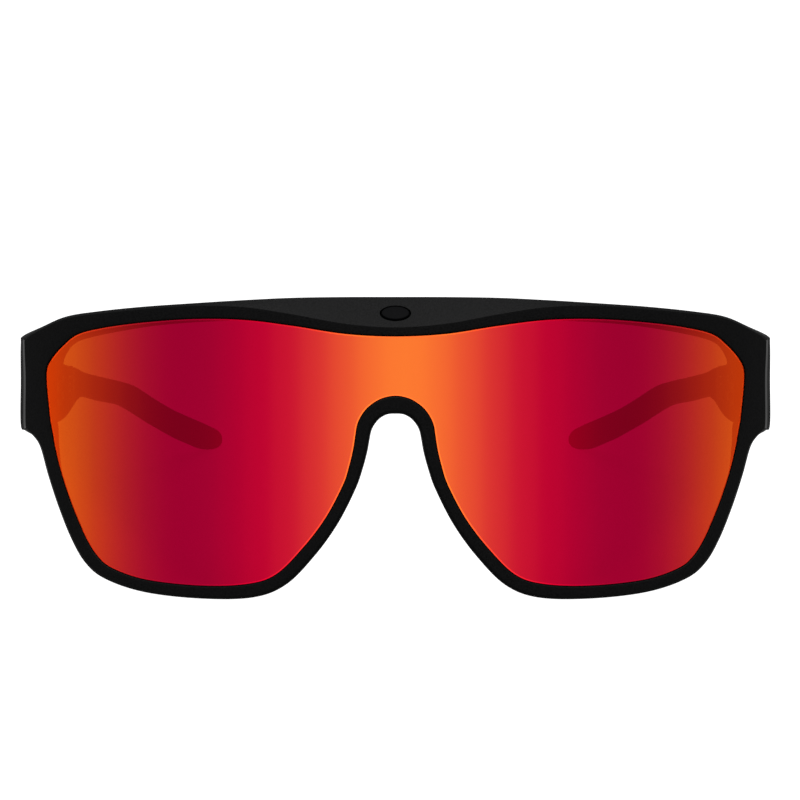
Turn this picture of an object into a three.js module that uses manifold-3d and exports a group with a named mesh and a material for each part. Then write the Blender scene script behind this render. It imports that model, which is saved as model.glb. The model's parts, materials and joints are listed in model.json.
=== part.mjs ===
// Wraparound sport sunglasses: one shield lens in a full rim, two folding temples on screwed
// barrel hinges, push-in nose pads and rubber temple tips. Millimetres.
//
// The glasses are drawn as they are worn, x to the wearer's left, y to the back of the head and
// z up, with the lens upright. The last step leans the whole assembly back until it stands on the
// lower rims and the temple tips. Pieces named _left are on the +x side, _right is their mirror.

import * as THREE from 'three';
import { mergeVertices } from 'three/addons/utils/BufferGeometryUtils.js';
import Module from 'manifold-3d';

const wasm = await Module();
wasm.setup();

// Front
const WRAP_RADIUS = 100;          // the front face is part of an upright cylinder
const GAP = 0.3;                  // clearance between neighbouring pieces
const EDGE = 0.45;                // softening of the rim's outer and rear edges
const SOFT_SIDE = 0.135;          // width of the outer edge's softening, seen from the front
const FLANK_EASE = 0.9;           // how much shallower the bevel gets for each mm of flank
const LIP_EDGE = 0.2;             // softening of the front edge round the lens
const BEVEL_SLOPE = 0.85;         // how far the brow's bevel falls back for each mm of its height
const BEVEL_FOOT = 12.75;         // height of the bevel's lower edge in the middle of the brow
const STATION_STEP = 4;           // longest step along the rim

// Lens: its face lies almost flush with the rim, a thinner flange round it runs in the rim's groove
const LENS_RECESS = 0.3;          // lens face behind the rim's face
const LENS_THICKNESS = 1.8;
const LENS_WRAP = 46;             // degrees that the lens reaches to each side
const FLANGE_RECESS = 1;          // front of the flange behind the rim's face
const FLANGE_REACH = 0.75;        // how far the flange runs into the groove
const GROOVE_PLAY = 0.25;
const GROOVE_DEPTH = FLANGE_REACH + GAP;
const GROOVE_FRONT = FLANGE_RECESS - GROOVE_PLAY;
const GROOVE_BACK = LENS_RECESS + LENS_THICKNESS + GROOVE_PLAY;
const LEDGE_DRAFT = 0.3;          // share of the opening's draft that is taken at the groove

// Hinge, on the +x side
const PIVOT = { x: 65.2, y: 38.75 };
const BARREL_RADIUS = 1.45;
const PIN_RADIUS = 0.55;
const PIN_HOLE_RADIUS = PIN_RADIUS + GAP;
const PIN_HEAD_RADIUS = 1.2;
const PIN_HEAD_HEIGHT = 0.5;
const PIN_SLOT = { width: 0.3, depth: 0.25 };
const KNUCKLE_COUNT = 5;
const HINGE_BOTTOM = -1;
const HINGE_HEIGHT = 7;
const KNUCKLE_HEIGHT = (HINGE_HEIGHT - GAP * (KNUCKLE_COUNT - 1)) / KNUCKLE_COUNT;
const LEAF_THICKNESS = 0.9;
const LEAF_OUTER_X = PIVOT.x + BARREL_RADIUS;
const LEAF_INNER_X = LEAF_OUTER_X - LEAF_THICKNESS;
const SEAT_X = LEAF_OUTER_X + GAP;      // flat that a leaf is screwed to
const FRAME_LEAF = { from: 31.9, to: 36.7, tabTo: PIVOT.y };
const TEMPLE_LEAF = { from: 40.8, to: 46.4, tabTo: PIVOT.y };
const SCREW = { shank: 0.4, head: 0.85, headHeight: 0.5, length: 3.6, hole: 0.7 };
const SCREW_INSET = 1.8;
const SCREW_HEIGHTS = [HINGE_BOTTOM + SCREW_INSET, HINGE_BOTTOM + HINGE_HEIGHT - SCREW_INSET];
const FRAME_SCREW_Y = 34.2;
const TEMPLE_SCREW_Y = 43.6;

// Temples
const JOINT_Y = 37;                     // rear face of the frame's end pieces
const TEMPLE_START = JOINT_Y + GAP;
const SLEEVE_START = 105;
const TONGUE_END = 150;
const TONGUE = { width: 1.6, height: 3 };

// Surface that the glasses stand on, in the worn position: a little above the lowest points, so
// that the rims and the tips get small flats.
const GROUND = { rim: { y: 12, z: -35.45 }, tip: { y: 156, z: -13.3 } };

const blackFrame = () => new THREE.MeshStandardMaterial({ color: 0x17171a, roughness: 0.62 });
const softBlack = () => new THREE.MeshStandardMaterial({ color: 0x1b1b1d, roughness: 0.85 });
const blackSteel = () => new THREE.MeshStandardMaterial({ color: 0x2a2a2c, roughness: 0.4, metalness: 1 });
const badgeBlack = () => new THREE.MeshStandardMaterial({ color: 0x0b0b0c, roughness: 0.25 });
const mirrorRed = () => new THREE.MeshStandardMaterial({ color: 0xb8142f, roughness: 0.08, metalness: 0.7 });

// ---------- solids ----------

function toSolid(geometry) {
  const plain = geometry.clone();
  plain.deleteAttribute('normal');
  plain.deleteAttribute('uv');
  const merged = mergeVertices(plain, 1e-4);
  return new wasm.Manifold(new wasm.Mesh({
    numProp: 3,
    vertProperties: new Float32Array(merged.attributes.position.array),
    triVerts: new Uint32Array(merged.index.array),
  }));
}

function toGeometry(solid) {
  const mesh = solid.getMesh();
  const geometry = new THREE.BufferGeometry();
  geometry.setAttribute('position', new THREE.BufferAttribute(mesh.vertProperties, 3));
  geometry.setIndex(new THREE.BufferAttribute(mesh.triVerts, 1));
  geometry.computeVertexNormals();
  return geometry;
}

function mirrored(geometry) {
  const copy = geometry.clone().scale(-1, 1, 1);
  const index = copy.index.array;
  for (let i = 0; i < index.length; i += 3) {
    [index[i + 1], index[i + 2]] = [index[i + 2], index[i + 1]];
  }
  copy.computeVertexNormals();
  return copy;
}

function boxSolid(low, high) {
  const size = high.map((value, axis) => value - low[axis]);
  const centre = high.map((value, axis) => (value + low[axis]) / 2);
  return toSolid(new THREE.BoxGeometry(...size).translate(...centre));
}

function uprightRod(radius, centre, low, high, sides = 24) {
  const rod = new THREE.CylinderGeometry(radius, radius, high - low, sides).rotateX(Math.PI / 2);
  return toSolid(rod.translate(centre.x, centre.y, (low + high) / 2));
}

function crossRod(radius, y, z, low, high, sides = 16) {
  const rod = new THREE.CylinderGeometry(radius, radius, high - low, sides).rotateZ(Math.PI / 2);
  return toSolid(rod.translate((low + high) / 2, y, z));
}

// Joins rings of points, all of one length, into a closed skin. A closed loft runs back into its
// first ring, an open one gets a flat cap at each end.
function loft(rings, closed) {
  const across = rings[0].length;
  const points = rings.flat();
  const triangles = [];
  const steps = closed ? rings.length : rings.length - 1;
  for (let i = 0; i < steps; i += 1) {
    const next = (i + 1) % rings.length;
    for (let j = 0; j < across; j += 1) {
      const k = (j + 1) % across;
      const corners = [i * across + j, i * across + k, next * across + k, next * across + j];
      triangles.push(corners[0], corners[1], corners[2], corners[0], corners[2], corners[3]);
    }
  }
  if (!closed) {
    [0, rings.length - 1].forEach((ringIndex, end) => {
      const centre = rings[ringIndex].reduce((sum, p) => sum.add(p), new THREE.Vector3());
      points.push(centre.divideScalar(across));
      for (let j = 0; j < across; j += 1) {
        const a = ringIndex * across + j;
        const b = ringIndex * across + ((j + 1) % across);
        triangles.push(points.length - 1, ...(end ? [a, b] : [b, a]));
      }
    });
  }
  const geometry = new THREE.BufferGeometry().setFromPoints(points);
  geometry.setIndex(triangles);
  return geometry;
}

// ---------- rim ----------

const wrapY = (x, depth) => WRAP_RADIUS - Math.sqrt((WRAP_RADIUS - depth) ** 2 - x ** 2);

// The rim's left half, from the middle of the brow round to the top of the nose arch. Each
// station joins a point of the outer edge to the matching point of the lens opening (x, z).
// bevel is the height of the sloping face along the outer edge, depth is the rim's thickness
// behind the wrap cylinder, and rear, where it is given, is the y of the rear face at the outer
// and at the inner edge, which is how the rim grows back into the end piece. draft is how far the
// opening's rear edge lies outside its front edge; where it is negative, a lip backs the lens.
// side is the width of the outer flank beside the bevel, where it is more than a soft edge.
const STATIONS = [
  { outer: [0, 18.45], inner: [0, 11.35], bevel: 5.7, depth: 8, draft: 0.3 },
  { outer: [9, 18.43], inner: [9, 11.82], bevel: 5, depth: 8, draft: 0.3 },
  { outer: [18.5, 18.27], inner: [18.3, 13.3], bevel: 3.1, depth: 8, draft: 0 },
  { outer: [27.6, 17.88], inner: [27, 14.42], bevel: 1.35, depth: 8, draft: 0 },
  { outer: [37.1, 17.46], inner: [35.9, 14.72], bevel: 0.6, depth: 8, draft: -0.35 },
  { outer: [46.15, 17.1], inner: [45.2, 14.35], bevel: 0.6, depth: 8, draft: -0.5 },
  { outer: [55.2, 16.55], inner: [53.6, 13.57], bevel: 0.6, depth: 8, draft: -0.75 },
  { outer: [62.2, 15.85], inner: [59.5, 12.45], bevel: 0.6, depth: 8, draft: -0.6 },
  { outer: [67.75, 14.15], inner: [62.8, 10.4], bevel: 0.7, rear: [34, 35.5], draft: 0.6, side: 0.2 },
  { outer: [72.45, 12.5], inner: [65.2, 8.2], bevel: 1.3, rear: [35, 37.6], draft: 0, side: 0.8 },
  { outer: [73, 10.9], inner: [66.5, 6.3], bevel: 1.5, rear: [37.2, 37.8], draft: -1.3, side: 0.95 },
  { outer: [73, 3.6], inner: [66.7, 3.4], bevel: 1.5, rear: [37.8, 37.8], draft: -0.8, side: 0.95 },
  { outer: [73, -4.75], inner: [65.95, -3.2], bevel: 1.5, rear: [37.2, 37.8], draft: 0.8, side: 0.95 },
  { outer: [72, -5.95], inner: [65.7, -4.6], bevel: 1.1, rear: [36.4, 37.4], draft: 0.85, side: 0.6 },
  { outer: [69.85, -7], inner: [65.25, -6.6], bevel: 0.6, rear: [35.2, 36], draft: 0.95 },
  { outer: [68.2, -9.1], inner: [64.75, -9], bevel: 0.6, rear: [34, 34.4], draft: 1.05 },
  { outer: [66.4, -14.3], inner: [63.2, -14.2], bevel: 0.6, depth: 5.5, draft: 1.1 },
  { outer: [64, -20.25], inner: [60.8, -20.1], bevel: 0.6, depth: 5.5, draft: 1.3 },
  { outer: [61.15, -26.1], inner: [57.9, -25.75], bevel: 0.6, depth: 5.5, draft: 1.2 },
  { outer: [58.1, -30.45], inner: [55.3, -29.2], bevel: 0.6, depth: 5.5, draft: 1 },
  { outer: [53.95, -33.2], inner: [52.2, -31.2], bevel: 0.6, depth: 5.5, draft: 0.8 },
  { outer: [46, -35.15], inner: [45.5, -32.9], bevel: 0.6, depth: 5.5, draft: 0.7 },
  { outer: [35, -35.78], inner: [35, -33.5], bevel: 0.6, depth: 5.5, draft: 0.6 },
  { outer: [25.4, -35.22], inner: [26.35, -32.9], bevel: 0.6, depth: 5.5, draft: 0.6 },
  { outer: [19.5, -32.85], inner: [21.1, -31.05], bevel: 0.6, depth: 5.5, draft: 0.5 },
  { outer: [14.5, -27.85], inner: [16.25, -26.25], bevel: 0.6, depth: 5.7, draft: 0.4 },
  { outer: [10.3, -22.1], inner: [12.2, -20.9], bevel: 0.6, depth: 6, draft: 0.15 },
  { outer: [7.1, -15.9], inner: [9.1, -15.05], bevel: 0.6, depth: 6, draft: 0.1 },
  { outer: [5.8, -12.2], inner: [8, -11.7], bevel: 0.6, depth: 6, draft: 0.1 },
  { outer: [5, -9.2], inner: [7.3, -8.8], bevel: 0.6, depth: 6, draft: 0.1 },
  { outer: [4.6, -7], inner: [6.93, -6.45], bevel: 0.6, depth: 6, draft: 0.1 },
  { outer: [4.25, -5.4], inner: [6.6, -4.45], bevel: 0.6, depth: 6, draft: 0.1 },
  { outer: [3.6, -4.2], inner: [5.85, -2.8], bevel: 0.6, depth: 6, draft: 0.1 },
  { outer: [2.65, -3.18], inner: [4.6, -1.28], bevel: 0.6, depth: 6, draft: 0.1 },
  { outer: [1.4, -2.54], inner: [2.5, 0.07], bevel: 0.6, depth: 6, draft: 0.1 },
  { outer: [0, -2.43], inner: [0, 0.58], bevel: 0.6, depth: 6, draft: 0.1 },
];

function allStations() {
  const mirror = ({ outer, inner, ...rest }) => (
    { outer: [-outer[0], outer[1]], inner: [-inner[0], inner[1]], ...rest });
  return [...STATIONS, ...STATIONS.slice(1, -1).reverse().map(mirror)];
}

// Smooth curves through the stations' edges, y holding the rear face, and through (bevel, draft, side).
function rimCurves() {
  const stations = allStations();
  const rearAt = (station, end, x) => (station.rear ? station.rear[end] : wrapY(x, station.depth));
  const edge = (key, end) => stations.map((station) => {
    const [x, z] = station[key];
    return new THREE.Vector3(x, rearAt(station, end, x), z);
  });
  const slopes = stations.map(({ bevel, draft, side = SOFT_SIDE }) => {
    return new THREE.Vector3(bevel, draft, side);
  });
  const smooth = (points) => new THREE.CatmullRomCurve3(points, true, 'catmullrom', 0.5);
  return { outer: smooth(edge('outer', 0)), inner: smooth(edge('inner', 1)), slope: smooth(slopes) };
}

function rimParameters() {
  const stations = allStations();
  return stations.flatMap((station, i) => {
    const next = stations[(i + 1) % stations.length];
    const length = Math.hypot(next.outer[0] - station.outer[0], next.outer[1] - station.outer[1]);
    const steps = Math.max(2, Math.ceil(length / STATION_STEP));
    return Array.from({ length: steps }, (_, j) => (i + j / steps) / stations.length);
  });
}

// The rim's section as (distance from the outer edge, y): sloping bevel, front face, inner wall
// with the lens groove, rear face.
function rimSection(curves, t) {
  const outer = curves.outer.getPoint(t);
  const inner = curves.inner.getPoint(t);
  const { x: bevel, y: draft, z: side } = curves.slope.getPoint(t);
  const width = Math.hypot(inner.x - outer.x, inner.z - outer.z);
  const fall = 1 - FLANK_EASE * (side - SOFT_SIDE);
  const bevelDepth = (s) => BEVEL_SLOPE * fall * Math.max(0, bevel - s);
  const place = (s, depth, y) => {
    const x = THREE.MathUtils.lerp(outer.x, inner.x, s / width);
    const z = THREE.MathUtils.lerp(outer.z, inner.z, s / width);
    return new THREE.Vector3(x, y ?? wrapY(x, depth), z);
  };
  const round = SOFT_SIDE;
  const ledge = draft > 0 ? draft * LEDGE_DRAFT : draft;
  return [
    place(0, bevelDepth(0) + EDGE * fall * (1 + side)),
    place(side, bevelDepth(side)),
    place((side + bevel) / 2, bevelDepth((side + bevel) / 2)),
    place(bevel, 0),
    place((bevel + width) / 2, 0),
    place(width - LIP_EDGE, 0),
    place(width, LIP_EDGE),
    place(width, GROOVE_FRONT),
    place(width - GROOVE_DEPTH, GROOVE_FRONT),
    place(width - GROOVE_DEPTH, GROOVE_BACK),
    place(width - ledge, GROOVE_BACK),
    place(width - draft, 0, inner.y - EDGE),
    place(width - draft - round, 0, inner.y - round),
    place(width - draft - EDGE, 0, inner.y),
    place(EDGE, 0, outer.y),
    place(round, 0, outer.y - round),
    place(0, 0, outer.y - EDGE),
  ];
}

const groundAngle = Math.atan2(GROUND.tip.z - GROUND.rim.z, GROUND.tip.y - GROUND.rim.y);

// Everything below the surface that the glasses stand on.
function groundSolid() {
  const block = new THREE.BoxGeometry(400, 400, 40).translate(0, 0, -20);
  return toSolid(block.rotateX(groundAngle).translate(0, GROUND.rim.y, GROUND.rim.z));
}

// Nose pads: straight fins behind the nose flanks, each on two moulded pegs.
const PAD = { top: [5.55, -9.4], bottom: [10.1, -20.6], thickness: 1.6, depth: 6.2 };
const PAD_FRONT = 6.7;
const PEG = { radius: 0.4, length: 1.5, places: [0.22, 0.72] };

function padPoint(share) {
  return PAD.top.map((value, i) => THREE.MathUtils.lerp(value, PAD.bottom[i], share));
}

function pegRod(share, radius, from, to) {
  const [x, z] = padPoint(share);
  const rod = new THREE.CylinderGeometry(radius, radius, to - from, 12);
  return toSolid(rod.translate(x + PAD.thickness / 2, (from + to) / 2, z));
}

function nosePad() {
  const length = Math.hypot(PAD.bottom[0] - PAD.top[0], PAD.bottom[1] - PAD.top[1]);
  const lean = Math.atan2(PAD.bottom[0] - PAD.top[0], PAD.top[1] - PAD.bottom[1]);
  const corner = 2.4;
  const outline = new THREE.Shape()
    .moveTo(0, 0)
    .lineTo(0, -length)
    .lineTo(PAD.depth - corner, -length)
    .absarc(PAD.depth - corner, -length + corner, corner, -Math.PI / 2, 0, false)
    .lineTo(PAD.depth, -corner)
    .absarc(PAD.depth - corner, -corner, corner, 0, Math.PI / 2, false);
  const fin = new THREE.ExtrudeGeometry(outline, {
    depth: PAD.thickness - 0.6, bevelThickness: 0.3, bevelSize: 0.3, bevelOffset: -0.3,
    bevelSegments: 2, curveSegments: 5,
  });
  // The outline lies in the plane of y and z, its thickness runs along x.
  const turn = new THREE.Matrix4().makeBasis(
    new THREE.Vector3(0, 1, 0), new THREE.Vector3(0, 0, 1), new THREE.Vector3(1, 0, 0));
  fin.applyMatrix4(turn).translate(0.3, 0, 0).rotateY(-lean);
  fin.translate(PAD.top[0], PAD_FRONT, PAD.top[1]);
  return PEG.places.reduce(
    (solid, share) => solid.add(pegRod(share, PEG.radius, PAD_FRONT - PEG.length, PAD_FRONT + 1)),
    toSolid(fin));
}

// Plain oval plate let into the middle of the brow's bevel.
const BADGE = { halfWidth: 2.5, halfHeight: 1.6, thickness: 0.9, proud: 0.25, z: 15.35 };

function badgeSolid(grow, thickness, lift) {
  const oval = new THREE.Shape()
    .absellipse(0, 0, BADGE.halfWidth + grow, BADGE.halfHeight + grow, 0, 2 * Math.PI);
  const plate = new THREE.ExtrudeGeometry(oval, { depth: thickness, bevelEnabled: false, curveSegments: 16 });
  // The plate's front faces -y, then it leans back with the bevel.
  plate.translate(0, 0, lift - thickness).rotateX(Math.PI / 2 - Math.atan(BEVEL_SLOPE));
  return toSolid(plate.translate(0, BEVEL_SLOPE * (BADGE.z - BEVEL_FOOT), BADGE.z));
}

function leafScrewRods(y, radius, from, to) {
  return SCREW_HEIGHTS.map((z) => crossRod(radius, y, z, from, to));
}

// What is cut from an end piece or a temple for its hinge leaf: the flat seat and screw holes.
function hingeSeat(from, to) {
  return boxSolid([60, from, HINGE_BOTTOM - GAP], [SEAT_X, to, HINGE_BOTTOM + HINGE_HEIGHT + GAP]);
}

function mirrorSolid(solid) {
  return solid.mirror([1, 0, 0]);
}

function frontFrame() {
  const curves = rimCurves();
  const rings = rimParameters().map((t) => rimSection(curves, t));
  let frame = toSolid(loft(rings, true));
  frame = frame.subtract(boxSolid([-100, JOINT_Y, -50], [100, 60, 50]));
  frame = frame.subtract(groundSolid());
  frame = frame.subtract(badgeSolid(GAP, BADGE.thickness + GAP + 2, BADGE.proud + 2));
  const cuts = [
    hingeSeat(FRAME_LEAF.from - GAP, JOINT_Y + 1),
    ...leafScrewRods(FRAME_SCREW_Y, SCREW.hole, SEAT_X - 1, SEAT_X + SCREW.length),
    ...PEG.places.map((share) => pegRod(share, PEG.radius + GAP, PAD_FRONT - PEG.length - GAP, 12)),
  ];
  cuts.forEach((cut) => {
    frame = frame.subtract(cut).subtract(mirrorSolid(cut));
  });
  return toGeometry(frame);
}

// Upright blank with the outline of the lens opening, grown by some mm.
function lensBlank(grow) {
  const curves = rimCurves();
  const outline = rimParameters().map((t) => {
    const outer = curves.outer.getPoint(t);
    const inner = curves.inner.getPoint(t);
    const width = Math.hypot(outer.x - inner.x, outer.z - inner.z);
    const edge = inner.lerp(outer, grow / width);
    return new THREE.Vector2(edge.x, edge.z);
  });
  const blank = new THREE.ExtrudeGeometry(new THREE.Shape(outline), { depth: 60, bevelEnabled: false });
  return toSolid(blank.rotateX(Math.PI / 2).translate(0, 55, 0));
}

// Curved sheet between two depths behind the rim's face.
function wrapSheet(front, back) {
  const low = THREE.MathUtils.degToRad(-90 - LENS_WRAP);
  const high = THREE.MathUtils.degToRad(-90 + LENS_WRAP);
  const section = new THREE.Shape()
    .absarc(0, WRAP_RADIUS, WRAP_RADIUS - front, low, high, false)
    .absarc(0, WRAP_RADIUS, WRAP_RADIUS - back, high, low, true);
  const sheet = new THREE.ExtrudeGeometry(section, { depth: 70, bevelEnabled: false, curveSegments: LENS_WRAP });
  return toSolid(sheet.translate(0, 0, -45));
}

function shieldLens() {
  const whole = wrapSheet(LENS_RECESS, LENS_RECESS + LENS_THICKNESS).intersect(lensBlank(FLANGE_REACH));
  const step = wrapSheet(LENS_RECESS - 1, FLANGE_RECESS).subtract(lensBlank(-GAP));
  return toGeometry(whole.subtract(step));
}

// ---------- hinges ----------

function knuckleSpan(index) {
  const low = HINGE_BOTTOM + index * (KNUCKLE_HEIGHT + GAP);
  return [low, low + KNUCKLE_HEIGHT];
}

// A flat leaf with its share of the barrel's knuckles, holed for the pin and two screws.
function hingeLeaf(leaf, knuckles, screwY) {
  const [tabFrom, tabTo] = leaf.to < leaf.tabTo ? [leaf.to - 0.2, leaf.tabTo] : [leaf.tabTo, leaf.from + 0.2];
  let solid = boxSolid([LEAF_INNER_X, leaf.from, HINGE_BOTTOM], [LEAF_OUTER_X, leaf.to, HINGE_BOTTOM + HINGE_HEIGHT]);
  knuckles.map(knuckleSpan).forEach(([low, high]) => {
    solid = solid.add(boxSolid([LEAF_INNER_X, tabFrom, low], [LEAF_OUTER_X, tabTo, high]));
    solid = solid.add(uprightRod(BARREL_RADIUS, PIVOT, low, high));
  });
  solid = solid.subtract(uprightRod(PIN_HOLE_RADIUS, PIVOT, HINGE_BOTTOM - 1, HINGE_BOTTOM + HINGE_HEIGHT + 1));
  leafScrewRods(screwY, SCREW.hole, LEAF_INNER_X - 1, LEAF_OUTER_X + 1).forEach((hole) => {
    solid = solid.subtract(hole);
  });
  return toGeometry(solid);
}

// Slotted pin that holds the five knuckles together.
function hingePin() {
  const top = HINGE_BOTTOM + HINGE_HEIGHT + GAP;
  const slotFloor = top + PIN_HEAD_HEIGHT - PIN_SLOT.depth;
  const slot = boxSolid(
    [PIVOT.x - 2, PIVOT.y - PIN_SLOT.width / 2, slotFloor],
    [PIVOT.x + 2, PIVOT.y + PIN_SLOT.width / 2, top + 2]);
  return toGeometry(uprightRod(PIN_RADIUS, PIVOT, HINGE_BOTTOM, top + 0.2, 16)
    .add(uprightRod(PIN_HEAD_RADIUS, PIVOT, top, top + PIN_HEAD_HEIGHT))
    .subtract(slot));
}

// Cross-slotted screw through a leaf into the plastic, head towards the wearer.
function leafScrew(y, z) {
  const headOuter = LEAF_INNER_X - GAP;
  const headInner = headOuter - SCREW.headHeight;
  const slots = [[0.6, 0.14], [0.14, 0.6]].map(([halfY, halfZ]) => boxSolid(
    [headInner - 1, y - halfY, z - halfZ], [headInner + 0.3, y + halfY, z + halfZ]));
  return toGeometry(crossRod(SCREW.shank, y, z, headOuter - 0.2, SEAT_X + SCREW.length - GAP)
    .add(crossRod(SCREW.head, y, z, headInner, headOuter))
    .subtract(slots[0])
    .subtract(slots[1]));
}

// ---------- temples ----------

// Left temple, from the joint to the tip: y, inner and outer x, top and bottom z.
const TEMPLE_STATIONS = [
  { y: TEMPLE_START, x: [66.6, 72.6], z: [9.1, -5.05] },
  { y: 42, x: [66.6, 72.8], z: [8.3, -4.9] },
  { y: 47, x: [66, 71.5], z: [7.45, -3.7] },
  { y: 52.5, x: [65, 69], z: [6.7, -0.2] },
  { y: 60, x: [64.6, 67.6], z: [5.8, 0.65] },
  { y: 78, x: [63.7, 66.5], z: [5, -0.3] },
  { y: 95, x: [62.7, 65.5], z: [4.3, -1.1] },
  { y: 105, x: [61, 64], z: [3.3, -2.75] },
  { y: 116, x: [57.9, 61.3], z: [0.35, -5.7] },
  { y: 126, x: [55.5, 59], z: [-1.9, -8] },
  { y: 134.5, x: [53.5, 57], z: [-3.45, -9.9] },
  { y: 143, x: [51.4, 54.9], z: [-4.9, -11.5] },
  { y: 150, x: [49.75, 53.1], z: [-6.05, -12.75] },
  { y: 155, x: [48.45, 51.7], z: [-7, -13.2] },
  { y: 159, x: [47.35, 50.4], z: [-7.95, -13] },
  { y: 161.2, x: [46.85, 49.4], z: [-9.1, -12.2] },
  { y: 162.2, x: [46.95, 48.5], z: [-10, -11.5] },
];
const TEMPLE_STEPS = 2;

// Smooth values between the temple stations: curves of (inner x, y, top z) and (outer x, y, bottom z).
function templeCurves() {
  const curve = (end) => new THREE.CatmullRomCurve3(
    TEMPLE_STATIONS.map(({ y, x, z }) => new THREE.Vector3(x[end], y, z[end])), false, 'catmullrom', 0.5);
  return [curve(0), curve(1)];
}

function templeSpans() {
  const [upper, lower] = templeCurves();
  const count = (TEMPLE_STATIONS.length - 1) * TEMPLE_STEPS;
  return Array.from({ length: count + 1 }, (_, i) => {
    const a = upper.getPoint(i / count);
    const b = lower.getPoint(i / count);
    return { y: a.y, x: [a.x, b.x], z: [a.z, b.z] };
  });
}

// Rounded-square section across the temple.
function templeRing({ y, x, z }, shrinkTo) {
  const squareness = 3.4;
  const corners = 16;
  const halfX = (shrinkTo?.width ?? x[1] - x[0]) / 2;
  const halfZ = (shrinkTo?.height ?? z[0] - z[1]) / 2;
  const ease = (value) => Math.sign(value) * Math.abs(value) ** (2 / squareness);
  return Array.from({ length: corners }, (_, i) => {
    const angle = (-2 * Math.PI * (i + 0.5)) / corners;
    return new THREE.Vector3(
      (x[0] + x[1]) / 2 + halfX * ease(Math.cos(angle)), y,
      (z[0] + z[1]) / 2 + halfZ * ease(Math.sin(angle)));
  });
}

function templeLoft(from, to, shrinkTo) {
  const spans = templeSpans();
  const at = (y) => {
    const i = Math.max(1, spans.findIndex((span) => span.y >= y));
    const share = (y - spans[i - 1].y) / (spans[i].y - spans[i - 1].y);
    const mix = (key, end) => THREE.MathUtils.lerp(spans[i - 1][key][end], spans[i][key][end], share);
    return { y, x: [mix('x', 0), mix('x', 1)], z: [mix('z', 0), mix('z', 1)] };
  };
  const between = spans.filter(({ y }) => y > from + 0.5 && y < to - 0.5);
  const ends = to >= spans.at(-1).y ? [spans.at(-1)] : [at(to)];
  return toSolid(loft([at(from), ...between, ...ends].map((span) => templeRing(span, shrinkTo)), false));
}

function templeArm() {
  let arm = templeLoft(TEMPLE_START, SLEEVE_START - GAP)
    .add(templeLoft(SLEEVE_START - 1, TONGUE_END, TONGUE))
    .subtract(hingeSeat(TEMPLE_START - 1, TEMPLE_LEAF.to + GAP));
  leafScrewRods(TEMPLE_SCREW_Y, SCREW.hole, SEAT_X - 1, SEAT_X + SCREW.length).forEach((hole) => {
    arm = arm.subtract(hole);
  });
  return toGeometry(arm);
}

function templeTip() {
  const pocket = { width: TONGUE.width + 2 * GAP, height: TONGUE.height + 2 * GAP };
  return toGeometry(templeLoft(SLEEVE_START, 200)
    .subtract(templeLoft(SLEEVE_START - 1, TONGUE_END + GAP, pocket))
    .subtract(groundSolid()));
}

// ---------- assembly ----------

const worn = new THREE.Group();

function addPiece(name, geometry, material) {
  const mesh = new THREE.Mesh(geometry, material);
  mesh.name = name;
  worn.add(mesh);
}

function addPair(name, geometry, material) {
  addPiece(`${name}_left`, geometry, material());
  addPiece(`${name}_right`, mirrored(geometry), material());
}

addPiece('front_frame', frontFrame(), blackFrame());
addPiece('shield_lens', shieldLens(), mirrorRed());
addPiece('brow_badge', toGeometry(badgeSolid(0, BADGE.thickness, BADGE.proud)), badgeBlack());
addPair('nose_pad', toGeometry(nosePad()), softBlack);
addPair('frame_hinge', hingeLeaf(FRAME_LEAF, [0, 2, 4], FRAME_SCREW_Y), blackSteel);
addPair('temple_hinge', hingeLeaf(TEMPLE_LEAF, [1, 3], TEMPLE_SCREW_Y), blackSteel);
addPair('hinge_pin', hingePin(), blackSteel);
SCREW_HEIGHTS.forEach((z, i) => {
  const level = i ? 'upper' : 'lower';
  addPair(`frame_screw_${level}`, leafScrew(FRAME_SCREW_Y, z), blackSteel);
  addPair(`temple_screw_${level}`, leafScrew(TEMPLE_SCREW_Y, z), blackSteel);
});
addPair('temple_arm', templeArm(), blackFrame);
addPair('temple_tip', templeTip(), softBlack);

// Lean back onto the rims and tips, then put the origin at the middle of the base.
worn.rotation.x = -groundAngle;
const glasses = new THREE.Group();
glasses.add(worn);
glasses.updateMatrixWorld(true);
const bounds = new THREE.Box3().setFromObject(glasses, true);
worn.position.set(0, -(bounds.min.y + bounds.max.y) / 2, -bounds.min.z);
glasses.updateMatrixWorld(true);

export default glasses;
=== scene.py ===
"""Looks of the wraparound sport sunglasses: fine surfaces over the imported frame, materials, studio.

Shapes are drawn in the worn position, in millimetres (x to the wearer's left, y to the back of the
head, z up, lens upright), as the CAD part is. to_row() then places them in the row frame, in
metres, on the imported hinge. Pieces named _left are on the +x side, _right is their mirror.
"""

import json
import math

import bmesh
import bpy
from mathutils import Matrix, Vector
from mathutils.geometry import delaunay_2d_cdt


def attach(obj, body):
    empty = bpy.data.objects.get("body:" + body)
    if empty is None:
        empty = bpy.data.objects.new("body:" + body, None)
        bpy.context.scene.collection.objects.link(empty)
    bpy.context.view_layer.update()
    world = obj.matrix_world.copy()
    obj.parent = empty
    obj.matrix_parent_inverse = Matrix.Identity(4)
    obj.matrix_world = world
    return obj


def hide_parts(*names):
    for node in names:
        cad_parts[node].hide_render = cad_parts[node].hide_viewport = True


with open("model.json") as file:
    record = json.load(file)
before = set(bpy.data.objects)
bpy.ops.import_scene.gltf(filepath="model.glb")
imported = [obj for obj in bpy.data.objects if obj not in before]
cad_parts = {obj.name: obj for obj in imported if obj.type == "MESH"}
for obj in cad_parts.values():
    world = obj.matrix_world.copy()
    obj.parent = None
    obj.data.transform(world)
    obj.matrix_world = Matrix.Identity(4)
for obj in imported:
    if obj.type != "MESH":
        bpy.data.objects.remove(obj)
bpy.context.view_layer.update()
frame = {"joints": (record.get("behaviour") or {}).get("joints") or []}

# ---------- worn position to row frame ----------

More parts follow.
